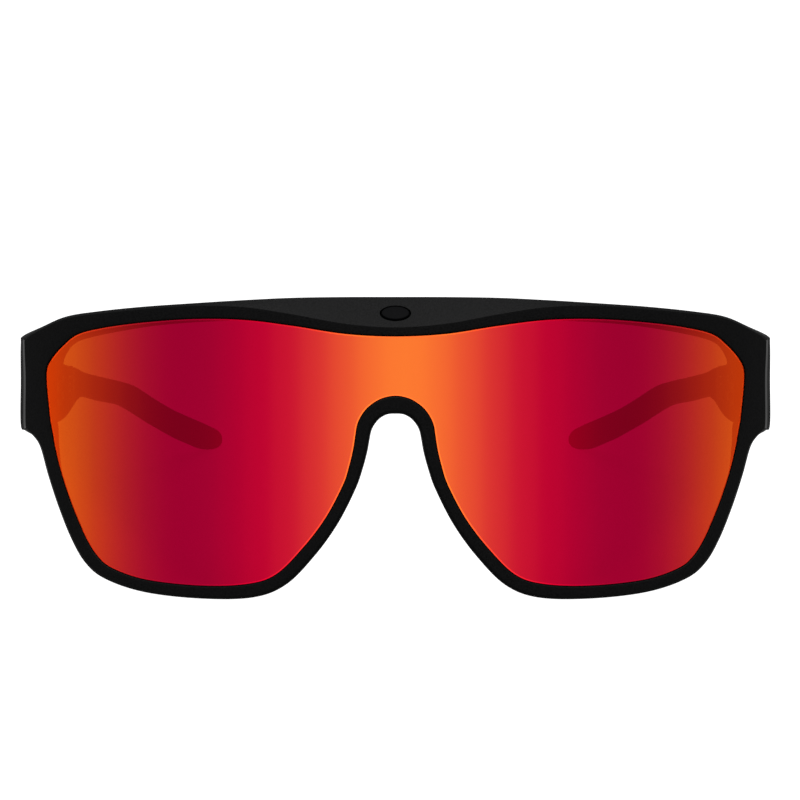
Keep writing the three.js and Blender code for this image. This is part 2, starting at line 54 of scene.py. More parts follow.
PIVOT = Vector((65.2, 38.75, 2.5))
hinge = next(joint for joint in frame["joints"] if joint["name"] == "fold_left")
LEAN = math.atan2(hinge["axis"][1], hinge["axis"][2])
TURN = Matrix.Rotation(-LEAN, 4, "X")
PLACE = Matrix.Translation(Vector(hinge["pos_m"]) - TURN @ (PIVOT * 0.001)) @ TURN @ Matrix.Scale(0.001, 4)


def to_row(point):
    return PLACE @ Vector(point)


# ---------- dimensions, as in the CAD part ----------

WRAP_RADIUS = 100
GAP = 0.3
EDGE = 0.45
SOFT_SIDE = 0.135
FLANK_EASE = 0.9
BEVEL_SLOPE = 0.85
BEVEL_FOOT = 12.75
JOINT_Y = 37
LENS_RECESS = 0.3
LENS_THICKNESS = 1.8
FLANGE_RECESS = 1
FLANGE_REACH = 0.75
GROOVE_PLAY = 0.25
GROOVE_DEPTH = FLANGE_REACH + GAP
GROOVE_FRONT = FLANGE_RECESS - GROOVE_PLAY
GROOVE_BACK = LENS_RECESS + LENS_THICKNESS + GROOVE_PLAY
LEDGE_DRAFT = 0.3

# Left half of the rim: outer edge, lens opening, bevel height, depth or rear y, draft of the opening,
# width of the flank beside the bevel.
STATIONS = [
    dict(outer=(0, 18.45), inner=(0, 11.35), bevel=5.7, depth=8, draft=0.3),
    dict(outer=(9, 18.43), inner=(9, 11.82), bevel=5, depth=8, draft=0.3),
    dict(outer=(18.5, 18.27), inner=(18.3, 13.3), bevel=3.1, depth=8, draft=0),
    dict(outer=(27.6, 17.88), inner=(27, 14.42), bevel=1.35, depth=8, draft=0),
    dict(outer=(37.1, 17.46), inner=(35.9, 14.72), depth=8, draft=-0.35),
    dict(outer=(46.15, 17.1), inner=(45.2, 14.35), depth=8, draft=-0.5),
    dict(outer=(55.2, 16.55), inner=(53.6, 13.57), depth=8, draft=-0.75),
    dict(outer=(62.2, 15.85), inner=(59.5, 12.45), depth=8, draft=-0.6),
    dict(outer=(67.75, 14.15), inner=(62.8, 10.4), bevel=0.7, rear=(34, 35.5), draft=0.6, side=0.2),
    dict(outer=(72.45, 12.5), inner=(65.2, 8.2), bevel=1.3, rear=(35, 37.6), draft=0, side=0.8),
    dict(outer=(73, 10.9), inner=(66.5, 6.3), bevel=1.5, rear=(37.2, 37.8), draft=-1.3, side=0.95),
    dict(outer=(73, 3.6), inner=(66.7, 3.4), bevel=1.5, rear=(37.8, 37.8), draft=-0.8, side=0.95),
    dict(outer=(73, -4.75), inner=(65.95, -3.2), bevel=1.5, rear=(37.2, 37.8), draft=0.8, side=0.95),
    dict(outer=(72, -5.95), inner=(65.7, -4.6), bevel=1.1, rear=(36.4, 37.4), draft=0.85, side=0.6),
    dict(outer=(69.85, -7), inner=(65.25, -6.6), rear=(35.2, 36), draft=0.95),
    dict(outer=(68.2, -9.1), inner=(64.75, -9), rear=(34, 34.4), draft=1.05),
    dict(outer=(66.4, -14.3), inner=(63.2, -14.2), depth=5.5, draft=1.1),
    dict(outer=(64, -20.25), inner=(60.8, -20.1), depth=5.5, draft=1.3),
    dict(outer=(61.15, -26.1), inner=(57.9, -25.75), depth=5.5, draft=1.2),
    dict(outer=(58.1, -30.45), inner=(55.3, -29.2), depth=5.5, draft=1),
    dict(outer=(53.95, -33.2), inner=(52.2, -31.2), depth=5.5, draft=0.8),
    dict(outer=(46, -35.15), inner=(45.5, -32.9), depth=5.5, draft=0.7),
    dict(outer=(35, -35.78), inner=(35, -33.5), depth=5.5, draft=0.6),
    dict(outer=(25.4, -35.22), inner=(26.35, -32.9), depth=5.5, draft=0.6),
    dict(outer=(19.5, -32.85), inner=(21.1, -31.05), depth=5.5, draft=0.5),
    dict(outer=(14.5, -27.85), inner=(16.25, -26.25), depth=5.7, draft=0.4),
    dict(outer=(10.3, -22.1), inner=(12.2, -20.9), depth=6, draft=0.15),
    dict(outer=(7.1, -15.9), inner=(9.1, -15.05), depth=6, draft=0.1),
    dict(outer=(5.8, -12.2), inner=(8, -11.7), depth=6, draft=0.1),
    dict(outer=(5, -9.2), inner=(7.3, -8.8), depth=6, draft=0.1),
    dict(outer=(4.6, -7), inner=(6.93, -6.45), depth=6, draft=0.1),
    dict(outer=(4.25, -5.4), inner=(6.6, -4.45), depth=6, draft=0.1),
    dict(outer=(3.6, -4.2), inner=(5.85, -2.8), depth=6, draft=0.1),
    dict(outer=(2.65, -3.18), inner=(4.6, -1.28), depth=6, draft=0.1),
    dict(outer=(1.4, -2.54), inner=(2.5, 0.07), depth=6, draft=0.1),
    dict(outer=(0, -2.43), inner=(0, 0.58), depth=6, draft=0.1),
]
EDGE_BEVEL = 0.6

# Left temple from the joint to the tip: y, (inner, outer) x, (top, bottom) z.
TEMPLE_STATIONS = [
    (37.3, (66.6, 72.6), (9.1, -5.05)),
    (42, (66.6, 72.8), (8.3, -4.9)),
    (47, (66, 71.5), (7.45, -3.7)),
    (52.5, (65, 69), (6.7, -0.2)),
    (60, (64.6, 67.6), (5.8, 0.65)),
    (78, (63.7, 66.5), (5, -0.3)),
    (95, (62.7, 65.5), (4.3, -1.1)),
    (105, (61, 64), (3.3, -2.75)),
    (116, (57.9, 61.3), (0.35, -5.7)),
    (126, (55.5, 59), (-1.9, -8)),
    (134.5, (53.5, 57), (-3.45, -9.9)),
    (143, (51.4, 54.9), (-4.9, -11.5)),
    (150, (49.75, 53.1), (-6.05, -12.75)),
    (155, (48.45, 51.7), (-7, -13.2)),
    (159, (47.35, 50.4), (-7.95, -13)),
    (161.2, (46.85, 49.4), (-9.1, -12.2)),
    (162.2, (46.95, 48.5), (-10, -11.5)),
]
SLEEVE_START = 105
TONGUE_END = 150
TONGUE_SIZE = (1.6, 3)

HINGE_BOTTOM = -1
HINGE_HEIGHT = 7
HINGE_TOP = HINGE_BOTTOM + HINGE_HEIGHT
KNUCKLES = 5
KNUCKLE_HEIGHT = (HINGE_HEIGHT - (KNUCKLES - 1) * GAP) / KNUCKLES
BARREL_RADIUS = 1.45
PIN_HOLE = 0.85
LEAF_OUTER_X = PIVOT.x + BARREL_RADIUS
LEAF_INNER_X = LEAF_OUTER_X - 0.9
SEAT_X = LEAF_OUTER_X + GAP
SEAT_CUT_X = 60
FRAME_LEAF = (31.9, 36.7)
TEMPLE_LEAF = (40.8, 46.4)
FRAME_SCREW_Y = 34.2
TEMPLE_SCREW_Y = 43.6
SCREW_INSET = 1.8
SCREW_HEIGHTS = {"lower": HINGE_BOTTOM + SCREW_INSET, "upper": HINGE_TOP - SCREW_INSET}


# ---------- curves ----------

def spline(points, closed, steps):
    """Uniform Catmull-Rom curve through the points, steps samples from each to the next."""
    count = len(points)
    samples = []
    spans = count if closed else count - 1

    def key(i):
        if closed:
            return points[i % count]
        if i < 0:
            return points[0] * 2 - points[1]
        if i >= count:
            return points[-1] * 2 - points[-2]
        return points[i]

    for i in range(spans):
        before, a, b, after = (key(i + k) for k in (-1, 0, 1, 2))
        out, into = (b - before) / 2, (after - a) / 2
        for j in range(steps):
            t = j / steps
            samples.append(a * (2 * t**3 - 3 * t**2 + 1) + out * (t**3 - 2 * t**2 + t)
                           + b * (3 * t**2 - 2 * t**3) + into * (t**3 - t**2))
    if not closed:
        samples.append(points[-1].copy())
    return samples


def wrap_y(x, depth):
    return WRAP_RADIUS - math.sqrt((WRAP_RADIUS - depth) ** 2 - x**2)


def filleted(corners, radii, segments):
    """Polygon of 2-D corners with each corner of some radius replaced by an arc."""
    points = []
    count = len(corners)
    for i, corner in enumerate(corners):
        radius = radii[i]
        if not radius:
            points.append(corner)
            continue
        to_last = corners[i - 1] - corner
        to_next = corners[(i + 1) % count] - corner
        half = to_last.angle(to_next) / 2
        reach = min(radius / math.tan(half), to_last.length * 0.45, to_next.length * 0.45)
        start = corner + to_last.normalized() * reach
        end = corner + to_next.normalized() * reach
        for k in range(segments + 1):
            t = k / segments
            # Quadratic Bezier through the fillet: close to an arc at these angles.
            points.append(start * (1 - t) ** 2 + corner * (2 * t * (1 - t)) + end * t**2)
    return points


# ---------- meshes ----------

SHARP_ANGLE = 35


def mesh_object(name, points, faces):
    """Object from worn-position points."""
    mesh = bpy.data.meshes.new(name)
    mesh.from_pydata([to_row(p) for p in points], [], faces)
    piece = bpy.data.objects.new(name, mesh)
    bpy.context.collection.objects.link(piece)
    tidy_normals(piece)
    return piece


def tidy_normals(piece):
    """Smooth shading, but for a hard edge where faces meet at over SHARP_ANGLE degrees."""
    work = bmesh.new()
    work.from_mesh(piece.data)
    bmesh.ops.remove_doubles(work, verts=work.verts, dist=1e-7)
    bmesh.ops.recalc_face_normals(work, faces=work.faces)
    limit = math.radians(SHARP_ANGLE)
    for face in work.faces:
        face.smooth = True
    for edge in work.edges:
        edge.smooth = len(edge.link_faces) == 2 and edge.calc_face_angle(0) < limit
    work.to_mesh(piece.data)
    work.free()


def ring_faces(rings, across, closed):
    steps = rings if closed else rings - 1
    faces = []
    for i in range(steps):
        a, b = i * across, ((i + 1) % rings) * across
        for j in range(across):
            k = (j + 1) % across
            faces.append((a + j, a + k, b + k, b + j))
    return faces


def loft(name, rings, closed):
    """Skin over rings of equally many points, capped at both ends unless it is closed."""
    across = len(rings[0])
    faces = ring_faces(len(rings), across, closed)
    if not closed:
        last = (len(rings) - 1) * across
        faces.append(tuple(range(across))[::-1])
        faces.append(tuple(range(last, last + across)))
    return mesh_object(name, [p for ring in rings for p in ring], faces)


def apply_boolean(piece, cutters, operation="DIFFERENCE"):
    """Cuts or joins with helper objects, which are then removed."""
    for cutter in cutters:
        change = piece.modifiers.new("change", "BOOLEAN")
        change.operation = operation
        change.object = cutter
        change.solver = "EXACT"
        depsgraph = bpy.context.evaluated_depsgraph_get()
        result = bpy.data.meshes.new_from_object(piece.evaluated_get(depsgraph))
        piece.modifiers.clear()
        piece.data = result
        bpy.data.objects.remove(cutter)


def mirrored(piece, name):
    """Copy of a left piece on the right side."""
    mesh = piece.data.copy()
    mesh.transform(Matrix.Scale(-1, 4, (1, 0, 0)))
    mesh.flip_normals()
    copy = bpy.data.objects.new(name, mesh)
    bpy.context.collection.objects.link(copy)
    return copy


def block(low, high, bevel=0.0):
    """Box between two worn-position corners, with its edges rounded by bevel."""
    work = bmesh.new()
    bmesh.ops.create_cube(work, size=1)
    low, high = Vector(low), Vector(high)
    for vert in work.verts:
        vert.co = Vector(((high + low) / 2 + Vector(a * b for a, b in zip(vert.co, high - low))))
    if bevel:
        bmesh.ops.bevel(work, geom=work.edges[:], offset=bevel, segments=3, profile=0.5, affect="EDGES")
    mesh = bpy.data.meshes.new("block")
    work.to_mesh(mesh)
    work.free()
    mesh.transform(PLACE)
    piece = bpy.data.objects.new("block", mesh)
    bpy.context.collection.objects.link(piece)
    return piece


def turned(name, profile, origin, along, sides):
    """Turned solid: profile of (radius, height), from axis to axis, about a line through origin."""
    along = Vector(along).normalized()
    side = along.orthogonal().normalized()
    other = along.cross(side)
    origin = Vector(origin)
    rings = []
    for i in range(sides):
        angle = 2 * math.pi * i / sides
        out = side * math.cos(angle) + other * math.sin(angle)
        rings.append([origin + along * h + out * r for r, h in profile])
    points = [p for ring in rings for p in ring]
    across = len(profile)
    faces = []
    for i in range(sides):
        a, b = i * across, ((i + 1) % sides) * across
        for j in range(across - 1):
            faces.append((a + j, a + j + 1, b + j + 1, b + j))
    return mesh_object(name, points, faces)


# ---------- front ----------

RIM_STEPS = 8
FILLET_STEPS = 5
# Rounding of each corner of the section: flank, bevel, face, front lip, groove, rear.
RIM_FILLETS = [0.2, 0.2, 0.2, 0, 0, 0.2, 0.08, 0, 0, 0.08, 0.5, 0.5]


def mirrored_station(station):
    return {**station, **{key: (-station[key][0], station[key][1]) for key in ("outer", "inner")}}


def all_stations():
    """The rim all the way round: the left half, then its mirror without the two middle stations."""
    return STATIONS + [mirrored_station(station) for station in reversed(STATIONS[1:-1])]


def rim_curves():
    """Samples of outer edge, lens opening (y holding the rear face) and (bevel height, draft, side)."""
    def edge_point(station, key, end):
        x, z = station[key]
        y = station["rear"][end] if "rear" in station else wrap_y(x, station["depth"])
        return Vector((x, y, z))

    stations = all_stations()
    outer = spline([edge_point(s, "outer", 0) for s in stations], True, RIM_STEPS)
    inner = spline([edge_point(s, "inner", 1) for s in stations], True, RIM_STEPS)
    slopes = [Vector((s.get("bevel", EDGE_BEVEL), s["draft"], s.get("side", SOFT_SIDE))) for s in stations]
    slope = spline(slopes, True, RIM_STEPS)
    return outer, inner, slope


def rim_ring(outer, inner, slope):
    """One section of the rim, drawn as (distance from the outer edge, y) and placed."""
    bevel, draft, side = slope
    ledge = draft * LEDGE_DRAFT if draft > 0 else draft
    width = math.hypot(inner.x - outer.x, inner.z - outer.z)

    def front(s, depth):
        return Vector((s, wrap_y(outer.x + (inner.x - outer.x) * s / width, depth)))

    fall = 1 - FLANK_EASE * (side - SOFT_SIDE)
    flank_depth = fall * (BEVEL_SLOPE * bevel + EDGE * (1 + side))
    middle = [front(bevel + (width - bevel) * share, 0) for share in (0.35, 0.7)]
    corners = [
        front(0, flank_depth), front(side, fall * BEVEL_SLOPE * (bevel - side)), front(bevel, 0),
        *middle, front(width, 0),
        front(width, GROOVE_FRONT), front(width - GROOVE_DEPTH, GROOVE_FRONT),
        front(width - GROOVE_DEPTH, GROOVE_BACK), front(width - ledge, GROOVE_BACK),
        Vector((width - draft, min(inner.y, JOINT_Y))), Vector((0, min(outer.y, JOINT_Y))),
    ]
    ring = []
    for s, y in filleted(corners, RIM_FILLETS, FILLET_STEPS):
        share = s / width
        x = outer.x + (inner.x - outer.x) * share
        z = outer.z + (inner.z - outer.z) * share
        ring.append(Vector((x, y, z)))
    return ring


def stand_flat(piece):
    """Presses what would reach below the surface into a small flat foot."""
    for vert in piece.data.vertices:
        vert.co.z = max(vert.co.z, 0)


BADGE = dict(half_width=2.5, half_height=1.6, thickness=0.9, proud=0.25, z=15.35)
BADGE_SIDES = 96
BADGE_ROUNDING = 0.22


def badge_matrix():
    tilt = math.pi / 2 - math.atan(BEVEL_SLOPE)
    y = BEVEL_SLOPE * (BADGE["z"] - BEVEL_FOOT)
    return Matrix.Translation((0, y, BADGE["z"])) @ Matrix.Rotation(tilt, 4, "X")


def badge_disc(name, steps):
    """Oval body from (inset, height) steps, its axis square to the brow's bevel."""
    place = badge_matrix()
    angles = [2 * math.pi * i / BADGE_SIDES for i in range(BADGE_SIDES)]
    rings = []
    for inset, height in steps:
        half_width = BADGE["half_width"] - inset
        half_height = BADGE["half_height"] - inset
        rings.append([place @ Vector((half_width * math.cos(a), half_height * math.sin(a), height))
                      for a in angles])
    return loft(name, rings, False)


def hinge_seat(start, end):
    """Block that cuts the flat seat of a hinge leaf between two y."""
    return block((SEAT_CUT_X, start, HINGE_BOTTOM - GAP), (SEAT_X, end, HINGE_TOP + GAP))


def front_frame():
    piece = loft("rim", [rim_ring(*values) for values in zip(*rim_curves())], True)
    recess = badge_disc("recess", [(-GAP, BADGE["proud"] - BADGE["thickness"] - GAP), (-GAP, 3)])
    seat = hinge_seat(FRAME_LEAF[0] - GAP, JOINT_Y + 1)
    apply_boolean(piece, [recess, seat, mirrored(seat, "seat")])
    tidy_normals(piece)
    stand_flat(piece)
    return piece


def brow_badge():
    """Plain oval plate with a rounded rim and a slightly domed face."""
    top = BADGE["proud"]
    low = top - BADGE["thickness"]
    steps = [(0.1, low), (0, low + 0.1)]
    for k in range(7):
        angle = math.pi / 2 * k / 6
        steps.append((BADGE_ROUNDING * (1 - math.cos(angle)), top - 0.3 + BADGE_ROUNDING * math.sin(angle)))
    for inset in (0.6, 1.0, 1.3, 1.5):
        steps.append((inset, top - 0.08 + 0.06 * inset / 1.5))
    return badge_disc("oval_badge", steps)


# ---------- lens ----------

# The lens's edge from its face to its back, as (growth beyond the opening, depth behind the rim's face).
# The first BORDER_LOOPS steps are the rounded border of the face.
LENS_PLAY = 0.15
BORDER_LOOPS = 2
LENS_EDGE = [
    (-LENS_PLAY - 0.26, LENS_RECESS), (-LENS_PLAY - 0.04, LENS_RECESS + 0.004),
    (-LENS_PLAY, LENS_RECESS + 0.06), (-LENS_PLAY, FLANGE_RECESS),
    (FLANGE_REACH - 0.1, FLANGE_RECESS), (FLANGE_REACH, FLANGE_RECESS + 0.1),
    (FLANGE_REACH, LENS_RECESS + LENS_THICKNESS - 0.1), (FLANGE_REACH - 0.1, LENS_RECESS + LENS_THICKNESS),
]
# Spacing of the points within the face in x and z, how many of them go each way, and how far they
# stay from the outline.
LENS_GRID = (1.2, 2.5)
GRID_COLUMNS = range(-56, 57)
GRID_ROWS = range(-14, 7)
GRID_MARGIN = 0.6


def lens_outline(grow):
    """Outline of the lens opening, grown by some mm, as (x, z)."""
    outer, inner, _ = rim_curves()
    points = []
    for a, b in zip(outer, inner):
        width = math.hypot(a.x - b.x, a.z - b.z)
        edge = b.lerp(a, grow / width)
        points.append(Vector((edge.x, edge.z)))
    return points


def inside(point, outline, margin):
    """Whether the point lies in the outline, at least margin from it."""
    crossings = 0
    for a, b in zip(outline, outline[1:] + outline[:1]):
        if (a.y > point.y) != (b.y > point.y) and point.x < a.x + (b.x - a.x) * (point.y - a.y) / (b.y - a.y):
            crossings += 1
        if (point - a).length < margin:
            return False
    return crossings % 2 == 1


def lens_face(outline, depth, first):
    """Points inside the outline, and the triangles over them and it.

    first holds the index of the outline's first point and that of the first point inside.
    """
    step_x, step_z = LENS_GRID
    extra = [Vector((i * step_x, j * step_z)) for i in GRID_COLUMNS for j in GRID_ROWS]
    extra = [p for p in extra if inside(p, outline, GRID_MARGIN)]
    flat = outline + extra
    points, _, triangles, origins, _, _ = delaunay_2d_cdt(flat, [], [list(range(len(outline)))], 1, 1e-5)
    assert len(points) == len(flat) and all(origin == [i] for i, origin in enumerate(origins))
    raised = [Vector((p.x, wrap_y(p.x, depth), p.y)) for p in extra]
    count = len(outline)
    faces = [tuple(first[0] + k if k < count else first[1] + k - count for k in t) for t in triangles]
    return raised, faces


def shield_lens():
    """Curved shell with a thinner flange: loops round the edge, and triangles over the face and the back."""
    points, faces = [], []
    for grow, depth in LENS_EDGE:
        points += [Vector((p.x, wrap_y(p.x, depth), p.y)) for p in lens_outline(grow)]
    count = len(points) // len(LENS_EDGE)
    faces += ring_faces(len(LENS_EDGE), count, False)
    for end in (0, len(LENS_EDGE) - 1):
        grow, depth = LENS_EDGE[end]
        extra, triangles = lens_face(lens_outline(grow), depth, (end * count, len(points)))
        points += extra
        faces += triangles
    lens = mesh_object("lens", points, faces)
    smooth_as_cylinder(lens)
    return lens


def smooth_as_cylinder(lens):
    """Gives the face and the back the exact normals of the cylinders that they lie on."""
    axis_point = to_row((0, WRAP_RADIUS, 0))
    axis = (TURN @ Vector((0, 0, 1))).normalized()
    normals = [Vector((0, 0, 0))] * len(lens.data.loops)
    for face in lens.data.polygons:
        if len(face.vertices) == 4:
            continue
        for loop in face.loop_indices:
            out = lens.data.vertices[lens.data.loops[loop].vertex_index].co - axis_point
            out = (out - axis * out.dot(axis)).normalized()
            normals[loop] = out if out.dot(face.normal) > 0 else -out
    lens.data.normals_split_custom_set(normals)


# ---------- nose pads ----------

PAD_TOP = Vector((5.55, -9.4))
PAD_BOTTOM = Vector((10.1, -20.6))
PAD_THICKNESS = 1.6
PAD_DEPTH = 6.2
PAD_FRONT = 6.7
PAD_CORNER = 2.4
PAD_FRONT_CORNER = 0.3
PAD_ROUNDING = 0.45
ROUNDING_STEPS = 5


def pad_layers():
    """(inset, distance across) of the pad's layers, from one rounded side to the other."""
    angles = [math.pi / 2 * k / ROUNDING_STEPS for k in range(ROUNDING_STEPS + 1)]
    rounded = [(PAD_ROUNDING * (1 - math.sin(a)), PAD_ROUNDING * (1 - math.cos(a))) for a in angles]
    return rounded + [(inset, PAD_THICKNESS - across) for inset, across in reversed(rounded)]


def nose_pad():
    """Soft fin behind the nose flank, its long edges fully rounded."""
    run = PAD_BOTTOM - PAD_TOP
    lean = math.atan2(run.x, -run.y)
    low = -run.length
    corners = [Vector((0, 0)), Vector((PAD_DEPTH, 0)), Vector((PAD_DEPTH, low)), Vector((0, low))]
    outline = filleted(corners, [PAD_FRONT_CORNER, PAD_CORNER, PAD_CORNER, PAD_FRONT_CORNER], 8)
    centre = Vector((PAD_DEPTH / 2, -run.length / 2))
    place = Matrix.Translation((PAD_TOP.x, PAD_FRONT, PAD_TOP.y)) @ Matrix.Rotation(-lean, 4, "Y")
    rings = []
    for inset, across in pad_layers():
        ring = []
        for p in outline:
            q = p + (centre - p).normalized() * inset
            ring.append(place @ Vector((across, q.x, q.y)))
        rings.append(ring)
    return loft("pad", rings, False)


# ---------- hinges ----------

PIN_FOOT = (PIVOT.x, PIVOT.y, 0)
UP = (0, 0, 1)
OUTWARD = (1, 0, 0)
PIN_SIDES = 64
PIN_RADIUS = 0.55
SCREW_SIDES = 48
HOLE_SIDES = 40
SCREW_HOLE = 0.7
LEAF_ROUNDING = 0.12
TAB_OVERLAP = 0.3
# What a tab is thinner than its leaf and its knuckle, so that no two faces coincide.
HAIR = 0.02


def knuckle_span(index):
    low = HINGE_BOTTOM + index * (KNUCKLE_HEIGHT + GAP)
    return low, low + KNUCKLE_HEIGHT


def knuckle(index):
    low, high = knuckle_span(index)
    soft = 0.12
    rim = BARREL_RADIUS - 0.3 * soft
    profile = [(0, low), (BARREL_RADIUS - soft, low), (rim, low + 0.3 * soft),
               (BARREL_RADIUS, low + soft), (BARREL_RADIUS, high - soft),
               (rim, high - 0.3 * soft), (BARREL_RADIUS - soft, high), (0, high)]
    return turned("knuckle", profile, PIN_FOOT, UP, PIN_SIDES)


def hole_cutter(radius, low, high, origin, along, sides):
    return turned("hole", [(0, low), (radius, low), (radius, high), (0, high)], origin, along, sides)


def hinge_leaf(leaf, knuckles, screw_y):
    """Flat leaf with its knuckles, bored for the pin and holed for two screws."""
    start, end = leaf
    tab_start, tab_end = (end - TAB_OVERLAP, PIVOT.y) if end < PIVOT.y else (PIVOT.y, start + TAB_OVERLAP)
    plate = block((LEAF_INNER_X, start, HINGE_BOTTOM), (LEAF_OUTER_X, end, HINGE_TOP), LEAF_ROUNDING)
    joined = []
    for index in knuckles:
        low, high = knuckle_span(index)
        tab_low = (LEAF_INNER_X + HAIR, tab_start, low + HAIR)
        tab_high = (LEAF_OUTER_X - HAIR, tab_end, high - HAIR)
        joined.append(block(tab_low, tab_high))
        joined.append(knuckle(index))
    apply_boolean(plate, joined, "UNION")
    bore = hole_cutter(PIN_HOLE, HINGE_BOTTOM - 1, HINGE_TOP + 1, PIN_FOOT, UP, PIN_SIDES)
    holes = [hole_cutter(SCREW_HOLE, -2, 2, (LEAF_INNER_X, screw_y, z), OUTWARD, HOLE_SIDES)
             for z in SCREW_HEIGHTS.values()]
    apply_boolean(plate, [bore, *holes])
    tidy_normals(plate)
    return plate


def hinge_pin():
    """Pin through the knuckles, with a slotted head above them."""
    top = HINGE_TOP + GAP
    profile = [(0, HINGE_BOTTOM), (PIN_RADIUS - 0.1, HINGE_BOTTOM), (PIN_RADIUS, HINGE_BOTTOM + 0.1),
               (PIN_RADIUS, top), (1.1, top), (1.2, top + 0.1), (1.2, top + 0.28), (1.13, top + 0.4),
               (0.95, top + 0.47), (0.6, top + 0.5), (0, top + 0.5)]
    pin = turned("pin", profile, PIN_FOOT, UP, PIN_SIDES)
    slot = block((PIVOT.x - 2, PIVOT.y - 0.15, top + 0.25), (PIVOT.x + 2, PIVOT.y + 0.15, top + 2))
    apply_boolean(pin, [slot])
    tidy_normals(pin)
    return pin


def leaf_screw(y, z):
    """Screw of a hinge leaf, with a crossed recess in its round head."""
    head = LEAF_INNER_X - GAP - 0.5
    profile = [(0, 0), (0.5, 0), (0.68, 0.05), (0.8, 0.16), (0.85, 0.3), (0.85, 0.45), (0.8, 0.5), (0.4, 0.5),
               (0.4, 5.1), (0.2, 5.3), (0, 5.3)]
    screw = turned("screw", profile, (head, y, z), OUTWARD, SCREW_SIDES)
    cross = [block((head - 1, y - a, z - b), (head + 0.3, y + a, z + b))
             for a, b in ((0.6, 0.14), (0.14, 0.6))]
    apply_boolean(screw, cross)
    tidy_normals(screw)
    return screw


# ---------- temples ----------

TEMPLE_STEPS = 10
TEMPLE_SIDES = 56
SQUARENESS = 3.4


def temple_spans():
    upper = spline([Vector((x[0], y, z[0])) for y, x, z in TEMPLE_STATIONS], False, TEMPLE_STEPS)
    lower = spline([Vector((x[1], y, z[1])) for y, x, z in TEMPLE_STATIONS], False, TEMPLE_STEPS)
    return [(a.y, (a.x, b.x), (a.z, b.z)) for a, b in zip(upper, lower)]


def temple_ring(span, inset=0.0):
    y, x, z = span
    half_x, half_z = (x[1] - x[0]) / 2 - inset, (z[0] - z[1]) / 2 - inset

    def ease(value):
        return math.copysign(abs(value) ** (2 / SQUARENESS), value)

    angles = [2 * math.pi * i / TEMPLE_SIDES for i in range(TEMPLE_SIDES)]
    return [Vector((sum(x) / 2 + half_x * ease(math.cos(a)), y, sum(z) / 2 + half_z * ease(math.sin(a))))
            for a in angles]


def span_at(spans, y):
    """The temple's x and z at some y, between the two nearest spans."""
    i = next(k for k in range(1, len(spans)) if spans[k][0] >= y)
    (y0, x0, z0), (y1, x1, z1) = spans[i - 1], spans[i]
    share = (y - y0) / (y1 - y0)

    def between(low, high):
        return tuple(a + (b - a) * share for a, b in zip(low, high))

    return y, between(x0, x1), between(z0, z1)


def temple_part(name, start, end):
    """Stretch of the temple with softened ends."""
    spans = temple_spans()
    soft = 0.25
    clear = soft + 0.1
    angles = [math.pi / 2 * k / 4 for k in range(5)]
    rounding = [(soft * (1 - math.cos(a)), soft * (1 - math.sin(a))) for a in angles]
    rings = [temple_ring(span_at(spans, start + depth), inset) for depth, inset in rounding]
    last = end if end else spans[-1][0]
    rings += [temple_ring(span) for span in spans if start + clear < span[0] < last - clear]
    if end:
        rings += [temple_ring(span_at(spans, end - depth), inset) for depth, inset in reversed(rounding)]
    else:
        rings.append(temple_ring(spans[-1]))
    return loft(name, rings, False)


def tongue(end, play):
    """Core that runs on from the arm into the sleeve, made larger by the play on every side."""
    spans = temple_spans()
    start = SLEEVE_START - 1
    course = [span_at(spans, start), *(span for span in spans if start < span[0] < end), span_at(spans, end)]
    half_width, half_height = (size / 2 + play for size in TONGUE_SIZE)
    rings = []
    for y, x, z in course:
        middle_x, middle_z = sum(x) / 2, sum(z) / 2
        rings.append(temple_ring((y, (middle_x - half_width, middle_x + half_width),
                                  (middle_z + half_height, middle_z - half_height))))
    return loft("tongue", rings, False)


def temple_arm():
    arm = temple_part("arm", TEMPLE_STATIONS[0][0], SLEEVE_START - GAP)
    apply_boolean(arm, [tongue(TONGUE_END, 0)], "UNION")
    apply_boolean(arm, [hinge_seat(JOINT_Y - 1, TEMPLE_LEAF[1] + GAP)])
    tidy_normals(arm)
    return arm


def temple_tip():
    tip = temple_part("tip", SLEEVE_START, None)
    stand_flat(tip)
    apply_boolean(tip, [tongue(TONGUE_END + GAP, GAP)])
    tidy_normals(tip)
    return tip


# ---------- materials ----------

def new_material(name):
    material = bpy.data.materials.new(name)
    material.use_nodes = True
    nodes = material.node_tree.nodes
    return material, nodes, material.node_tree.links, nodes["Principled BSDF"]


def object_noise(nodes, links, scale, detail, stretch=(1, 1, 1)):
    coordinates = nodes.new("ShaderNodeTexCoord")
    mapping = nodes.new("ShaderNodeMapping")
    mapping.inputs["Scale"].default_value = stretch
    noise = nodes.new("ShaderNodeTexNoise")
    noise.inputs["Scale"].default_value = scale
    noise.inputs["Detail"].default_value = detail
    links.new(coordinates.outputs["Object"], mapping.inputs["Vector"])
    links.new(mapping.outputs["Vector"], noise.inputs["Vector"])
    return noise


def ranged(nodes, links, source, low, high):
    remap = nodes.new("ShaderNodeMapRange")
    remap.inputs["From Min"].default_value = 0.3
    remap.inputs["From Max"].default_value = 0.7
    remap.inputs["To Min"].default_value = low
    remap.inputs["To Max"].default_value = high
    links.new(source, remap.inputs["Value"])
    return remap.outputs["Result"]


def blended(nodes, links, factor, dark, light):
    mix = nodes.new("ShaderNodeMix")
    mix.data_type = "RGBA"
    mix.inputs["A"].default_value = (*dark, 1)
    mix.inputs["B"].default_value = (*light, 1)
    links.new(factor, mix.inputs["Factor"])
    return mix.outputs["Result"]


def bumped(nodes, links, shader, source, strength, distance):
    bump = nodes.new("ShaderNodeBump")
    bump.inputs["Strength"].default_value = strength
    bump.inputs["Distance"].default_value = distance
    links.new(source, bump.inputs["Height"])
    links.new(bump.outputs["Normal"], shader.inputs["Normal"])


MATT_IOR = 1.2


